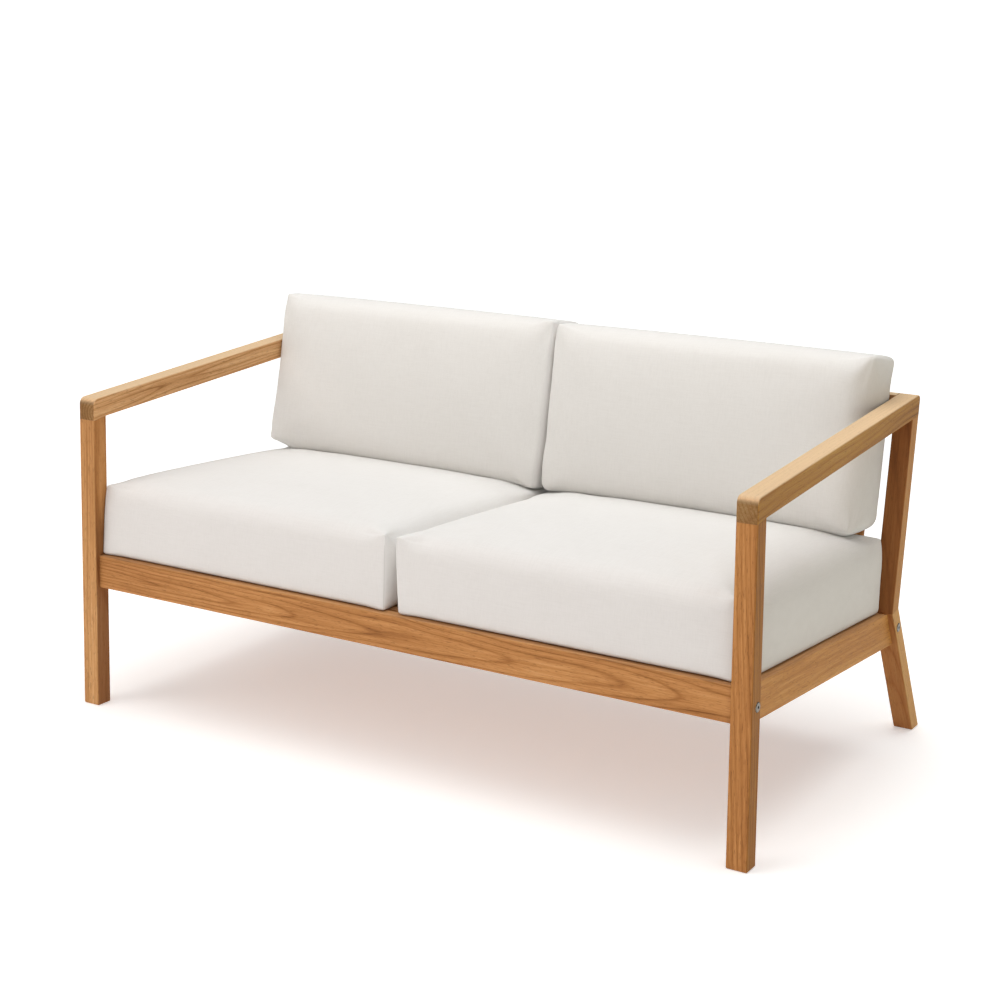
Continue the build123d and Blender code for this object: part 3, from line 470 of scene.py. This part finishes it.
def soft_box(places, low, high, corners, ends_soft, ends_low, side_soft, side_low, bulge, crown,
             stretch=1.0, ear=0.065, tuck=(0, 0)):
    """Bends a box grid into a sewn cushion: soft edges round the main panel, tight sewn corners.

    The axes are width, length and thickness, with the main panel at the high end of the last. A pair
    of numbers is for the low and the high end of the width, or of the length for ends_soft and
    ends_low. These, side_soft and side_low are the radii of the edges at the main panel and at the
    lower one. corners holds the sewn radii: a pair at the low end of the length and one at its high
    end. stretch widens them across, and ear is how far a sewn corner reaches. bulge is how far the
    sides, the low end and the high end stand out, and crown how far the main panel does. tuck
    tightens the soft edge of a side toward the high end of the length.
    """
    edge_blend, corner_blend, tightest, tuck_from, tuck_length = 0.08, 0.05, 0.012, 0.70, 0.12
    across, along, height = places.T
    low_half, near_end = across < (low[0] + high[0]) / 2, along < (low[1] + high[1]) / 2
    t = (along - low[1]) / (high[1] - low[1])
    w = smooth((height - low[2]) / (high[2] - low[2]))
    from_side = np.minimum(across - low[0], high[0] - across)
    from_end = np.minimum(along - low[1], high[1] - along)
    to_corner = np.maximum(from_side, from_end)
    peak = 1 - smooth(to_corner / ear)
    beside = smooth(0.5 + (from_end - from_side) / edge_blend)

    sewn_near, sewn_far = (np.where(low_half, *pair) for pair in corners)
    sewn = np.where(near_end, sewn_near, sewn_far)
    tight = np.minimum(sewn, tightest)
    side_top, side_under = np.where(low_half, *side_soft), np.where(low_half, *side_low)
    side_top = side_top * (1 - np.where(low_half, *tuck) * rising(t, tuck_from, tuck_length))
    end_top, end_under = np.where(near_end, *ends_soft), np.where(near_end, *ends_low)
    top_radius = end_top + (side_top - end_top) * beside
    top_radius += (tight - top_radius) * peak
    low_radius = end_under + (side_under - end_under) * beside
    low_radius += (tight - low_radius) * peak * 0.5
    near_top = zone(high[2] - height, top_radius)
    near_low = zone(height - low[2], low_radius)

    # In the width and length plane, the sewn radius holds at a corner and the edge radii beyond it
    near_corner = 1 - rising(to_corner, sewn, corner_blend)
    side_radius = side_under + (side_top - side_under) * w
    side_radius += (sewn * stretch - side_radius) * near_corner
    end_radii = [ends_low[end] + (ends_soft[end] - ends_low[end]) * w for end in (0, 1)]
    end_radii = [radius + (sewn - radius) * near_corner for radius in end_radii]
    left, right = zone(across - low[0], side_radius), zone(high[0] - across, side_radius)
    front, rear = zone(along - low[1], end_radii[0]), zone(high[1] - along, end_radii[1])
    pull = np.stack([right - left, rear - front, near_top - near_low])
    inset = 1 - np.abs(pull) / np.maximum(np.linalg.norm(pull, axis=0), 1e-9)
    x = np.where(left > 0, low[0] + side_radius * inset[0], across)
    x = np.where(right > 0, high[0] - side_radius * inset[0], x)
    y = np.where(front > 0, low[1] + end_radii[0] * inset[1], along)
    y = np.where(rear > 0, high[1] - end_radii[1] * inset[1], y)
    z = np.where(near_top > 0, high[2] - top_radius * inset[2], height)
    z = np.where(near_low > 0, low[2] + low_radius * inset[2], z)

    # The panels swell: u and v run from -1 to 1 over the width and length, w from 0 to 1
    u = np.clip((x - (low[0] + high[0]) / 2) / ((high[0] - low[0]) / 2), -1, 1)
    v = np.clip((y - (low[1] + high[1]) / 2) / ((high[1] - low[1]) / 2), -1, 1)
    w = np.clip((z - low[2]) / (high[2] - low[2]), 0, 1)
    z = z + crown * (1 - np.abs(u) ** 4.5) * (1 - np.abs(v) ** 2.8) * rising(w, 0.35, 0.65)
    belly = 4 * w * (1 - w)
    side_out, near_out, far_out = bulge
    x = x + side_out * np.sign(u) * np.abs(u) ** 6 * (1 - np.abs(v) ** 4) * belly
    end_out = np.where(v > 0, far_out, near_out)
    y = y + end_out * np.sign(v) * np.abs(v) ** 6 * (1 - np.abs(u) ** 4) * belly
    return np.stack([x, y, z], axis=1)


def fit_seat(places, share, sign, rise, spread):
    """The seat stands out over the side rail behind the leg, rises a little to the rear, and its
    inner side opens toward the front, most of all low down."""
    stand_out = 0.0150
    out = rising(places[:, 0] * sign, 0.60, 0.08) * rising(places[:, 1], 0.001, 0.055)
    places[:, 0] += stand_out * sign * out * rising(places[:, 2], -0.042, 0.055)
    inner = share[:, 0] if sign < 0 else 1 - share[:, 0]
    ahead = 1 - share[:, 1]
    places[:, 0] += inner * (spread[0] * ahead + spread[1] * ahead ** 6 * (1 - share[:, 2]))
    places[:, 2] += rise * share[:, 1] * share[:, 2]


def fit_back(places, share, low, flare, cut):
    """The foot of a back lies flat on the seat and comes forward a little. flare opens the low side
    of the width toward the foot, and cut slants off its lower corner."""
    flare_share, cut_share, cut_width = 0.55, 0.30, 0.060
    lying_height, forward_height, foot_forward = 0.16, 0.11, 0.005
    opened = smooth(1 - share[:, 1] / flare_share)
    places[:, 0] += flare * (1 - share[:, 0]) * opened * share[:, 2]
    slant = zone(places[:, 0] - low[0], cut_width)
    places[:, 1] += cut * slant * smooth(1 - share[:, 1] / cut_share)
    down = smooth(1 - (places[:, 1] - low[1]) / lying_height)
    places[:, 1] -= tan(BACK_LEAN - SEAT_PITCH) * (places[:, 2] - low[2]) * down
    near_foot = smooth(1 - (places[:, 1] - low[1]) / forward_height)
    places[:, 2] += foot_forward * near_foot * share[:, 2]


def seam_distances(places, low, high, reach):
    """Distance of each point from the nearest seam, and from the nearest tip of a sewn corner. The
    seams are the upright corners, up to reach, and the edge round the lower panel."""
    across = np.minimum(places[:, 0] - low[0], high[0] - places[:, 0])
    along = np.minimum(places[:, 1] - low[1], high[1] - places[:, 1])
    above = np.maximum(places[:, 2] - reach, 0)
    corners = np.sqrt(across ** 2 + along ** 2 + above ** 2)
    under = np.hypot(np.minimum(across, along), places[:, 2] - low[2])
    return np.minimum(corners, under), np.hypot(np.hypot(across, along), high[2] - places[:, 2])


def puff(piece, pinned, cap=0.006, frames=20):
    """Blows the cover up a little as cloth, then keeps at most cap of the movement."""
    rest = np.array([vertex.co[:] for vertex in piece.data.vertices])
    group = piece.vertex_groups.new(name="sewn")
    for index in np.nonzero(pinned)[0]:
        group.add([int(index)], 1.0, "REPLACE")
    modifier = piece.modifiers.new("cloth", "CLOTH")
    cloth = modifier.settings
    for setting, value in (
        ("quality", 6), ("mass", 0.4), ("tension_stiffness", 22), ("compression_stiffness", 22),
        ("shear_stiffness", 8), ("bending_stiffness", 1.2), ("use_pressure", True),
        ("uniform_pressure_force", 3.0), ("vertex_group_mass", "sewn"), ("pin_stiffness", 1.0),
    ):
        setattr(cloth, setting, value)
    cloth.effector_weights.gravity = 0
    modifier.point_cache.frame_start = 1
    modifier.point_cache.frame_end = frames
    scene = bpy.context.scene
    for number in range(1, frames + 1):
        scene.frame_set(number)
    shown = piece.evaluated_get(bpy.context.evaluated_depsgraph_get())
    moved = np.array([vertex.co[:] for vertex in shown.data.vertices]) - rest
    piece.modifiers.remove(modifier)
    piece.vertex_groups.clear()
    scene.frame_set(1)
    most = float(np.linalg.norm(moved, axis=1).max())
    moved *= min(1.0, cap / max(most, 1e-6))
    print("puffed", piece.name, "most", round(most * 1000, 1), "mm")
    return rest + moved


def sewn_pull(sharp, low, high, seam, peak):
    """How far the cover is drawn in: a little along a seam, and in puckers round each corner's tip."""
    seam_depth, seam_reach = 0.0005, 0.006
    tip_depth, tip_reach = 0.0045, 0.075
    pucker_depth, pucker_waves = 0.0011, 9
    nearest = [np.where(sharp[:, axis] > (low[axis] + high[axis]) / 2, high[axis], low[axis])
               for axis in (0, 1)]
    angle = np.arctan2(sharp[:, 1] - nearest[1], sharp[:, 0] - nearest[0])
    fade = zone(peak, tip_reach)
    puckers = pucker_depth * fade * (1 - fade) * 4 * np.sin(angle * pucker_waves)
    return seam_depth * zone(seam, seam_reach) ** 2 + tip_depth * fade ** 3 + puckers


def cushion(name, low, high, to_world, material, shape, fit):
    """One cover that replaces the CAD node of that name. It is made in the cushion's own axes: width,
    length, thickness. fit changes the places after the soft box, by their share of each axis."""
    low, high = np.array(low), np.array(high)
    lines = zip(low, high, (PANEL_LINES, PANEL_LINES, DEPTH_LINES))
    sharp, faces = box_grid([spaced(start, end, *grid) for start, end, grid in lines])
    places = soft_box(sharp, low, high, **shape)
    fit(places, (sharp - low) / (high - low))
    seam, peak = seam_distances(sharp, low, high, high[2] - SEAM_END)
    mesh = bpy.data.meshes.new(name + "_cover")
    mesh.from_pydata(places.tolist(), [], faces)
    piece = bpy.data.objects.new(name + "_cover", mesh)
    bpy.context.collection.objects.link(piece)
    bpy.context.view_layer.update()
    places = puff(piece, (seam < PIN_SEAM) | (places[:, 2] < low[2] + PIN_PANEL))
    mesh.vertices.foreach_set("co", places.ravel())
    mesh.update()

    normals = np.array([vertex.normal[:] for vertex in mesh.vertices])
    places = places - normals * sewn_pull(sharp, low, high, seam, peak)[:, None]
    world = np.array([to_world @ Vector(place) for place in places])
    mesh.vertices.foreach_set("co", world.ravel())
    attribute = mesh.attributes.new("seam", "FLOAT", "POINT")
    attribute.data.foreach_set("value", seam.astype(np.float32))
    mesh.shade_smooth()
    mesh.update()
    mesh.materials.append(material)
    subdivide = piece.modifiers.new("subdivision", "SUBSURF")
    subdivide.levels = subdivide.render_levels = 1
    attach(piece, name)
    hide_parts(name)


def make_seats():
    """Seat: width along X, length down the pitch of the seat, thickness up from the slats."""
    cloth = canvas("seat_canvas", SEAT_PITCH, (0.95, 0.915, 0.905))
    to_world = Matrix((
        (1, 0, 0, 0),
        (0, cos(SEAT_PITCH), sin(SEAT_PITCH), LEG_REAR_Y),
        (0, -sin(SEAT_PITCH), cos(SEAT_PITCH), SEAT_TOP_Z),
        (0, 0, 0, 1),
    ))
    inner, outer, front, rear = 0.0040, 0.6817, -0.0175, 0.593
    common = dict(corners=((0.003, 0.003), (0.006, 0.006)), ends_soft=(0.040, 0.022),
                  ends_low=(0.012, 0.008), bulge=(0.001, 0.001, 0.003), crown=0.020, ear=0.048)
    for name, sign, side_soft, side_low, tuck, rise, spread in (
        ("seat_cushion_left", -1, (0.028, 0.045), (0.008, 0.013), (0, 0.75), 0.009, (-0.0045, 0.003)),
        ("seat_cushion_right", 1, (0.024, 0.042), (0.013, 0.008), (0.75, 0), 0.006, (0.0050, 0.015)),
    ):
        low_x, high_x = sorted((sign * inner, sign * outer))
        cushion(name, (low_x, front, LAID_GAP), (high_x, rear, SEAT_THICK), to_world, cloth,
                dict(common, side_soft=side_soft, side_low=side_low, tuck=tuck),
                lambda places, share: fit_seat(places, share, sign, rise, spread))


def back_foot():
    """Y and Z of the foot of the back cushions' rear face, worked out as in the part's source."""
    behind = BACK_BEHIND / cos(BACK_LEAN)
    start_y = KINK_Y - KINK_Z * tan(BACK_LEAN) + behind
    rail_z = SEAT_TOP_Z - (start_y - LEG_REAR_Y) * tan(SEAT_PITCH)
    seat_z = rail_z + SEAT_THICK + SEAT_CROWN_AT_BACK + LAID_GAP
    z = seat_z / (1 + tan(SEAT_PITCH) * tan(BACK_LEAN))
    return KINK_Y + (z - KINK_Z) * tan(BACK_LEAN) + behind, z


def make_backs():
    """Back: width along X, length up the lean, thickness toward the front."""
    cloth = canvas("back_canvas", BACK_LEAN, (0.985, 0.965, 0.945))
    foot_y, foot_z = back_foot()
    to_world = Matrix((
        (1, 0, 0, 0),
        (0, sin(BACK_LEAN), -cos(BACK_LEAN), foot_y),
        (0, cos(BACK_LEAN), sin(BACK_LEAN), foot_z),
        (0, 0, 0, 1),
    ))
    inner, thick = 0.0018, 0.122
    common = dict(ends_soft=(0.034, 0.040), ends_low=(0.034, 0.030), side_low=(0.032, 0.032),
                  bulge=(0.001, 0.002, 0.0015), crown=0.012, stretch=1.35, ear=0.055)
    for name, sign, outer, height, side_soft, corners, flare, cut in (
        ("back_cushion_left", -1, 0.6815, 0.335, (0.007, 0.009),
         ((0.008, 0.010), (0.006, 0.008)), -0.0055, 0.021),
        ("back_cushion_right", 1, 0.6780, 0.331, (0.010, 0.046),
         ((0.020, 0.034), (0.008, 0.012)), 0.0, 0.0),
    ):
        low_x, high_x = sorted((sign * inner, sign * outer))
        low = (low_x, 0.0, 0.0)
        cushion(name, low, (high_x, height, thick), to_world, cloth,
                dict(common, side_soft=side_soft, corners=corners),
                lambda places, share: fit_back(places, share, low, flare, cut))


# ---- Plain studio ----
def make_floor():
    """A round floor, flat under the sofa and turned up like a bowl far away."""
    profile = [(6.0, 0.0), (8.5, 0.0), (9.5, 0.06), (10.5, 0.3), (11.5, 0.9), (12.2, 1.8), (12.5, 3.0)]
    turns = 96
    points = [(0, 0, 0)]
    for radius, height in profile:
        points += [(radius * cos(2 * pi * i / turns), radius * sin(2 * pi * i / turns), height)
                   for i in range(turns)]
    faces = [(0, 1 + i, 1 + (i + 1) % turns) for i in range(turns)]
    for ring in range(len(profile) - 1):
        start = 1 + ring * turns
        for i in range(turns):
            after = (i + 1) % turns
            faces.append((start + i, start + turns + i, start + turns + after, start + after))
    mesh = bpy.data.meshes.new("floor")
    mesh.from_pydata(points, [], faces)
    mesh.shade_smooth()
    floor = bpy.data.objects.new("floor", mesh)
    floor.location.z = -0.0005  # just under the feet
    mesh.materials.append(ground())
    bpy.context.collection.objects.link(floor)


def make_sky():
    """A white sky, brightest overhead."""
    world = bpy.data.worlds.new("studio")
    bpy.context.scene.world = world
    world.use_nodes = True
    nodes, links = world.node_tree.nodes, world.node_tree.links
    background = nodes["Background"]
    background.inputs["Color"].default_value = (1, 1, 1, 1)
    way, parts, level = (nodes.new("ShaderNode" + kind) for kind in ("TexCoord", "SeparateXYZ", "Math"))
    gain, at_horizon = 0.35, 0.03
    level.operation = "MULTIPLY_ADD"
    level.use_clamp = True
    level.inputs[1].default_value = gain
    level.inputs[2].default_value = at_horizon
    links.new(way.outputs["Generated"], parts.inputs[0])
    links.new(parts.outputs["Z"], level.inputs[0])
    links.new(level.outputs[0], background.inputs["Strength"])


def make_lights():
    aim = Vector((0, 0, 0.4))
    for name, place, size, power, colour in (
        ("key", (-2.2, -3.2, 3.2), 3.0, 51, (1, 0.95, 0.93)),
        ("top", (0.2, -0.1, 3.8), 4.6, 124, (1, 1, 1)),
    ):
        data = bpy.data.lights.new(name, "AREA")
        data.shape = "DISK"
        data.size = size
        data.energy = power
        data.color = colour
        lamp = bpy.data.objects.new(name, data)
        lamp.location = place
        lamp.rotation_euler = (aim - Vector(place)).to_track_quat("-Z", "Y").to_euler()
        bpy.context.collection.objects.link(lamp)


bpy.context.scene.view_settings.view_transform = "Standard"
make_camera()
make_floor()
make_sky()
make_lights()
dress_frame()
make_seats()
make_backs()
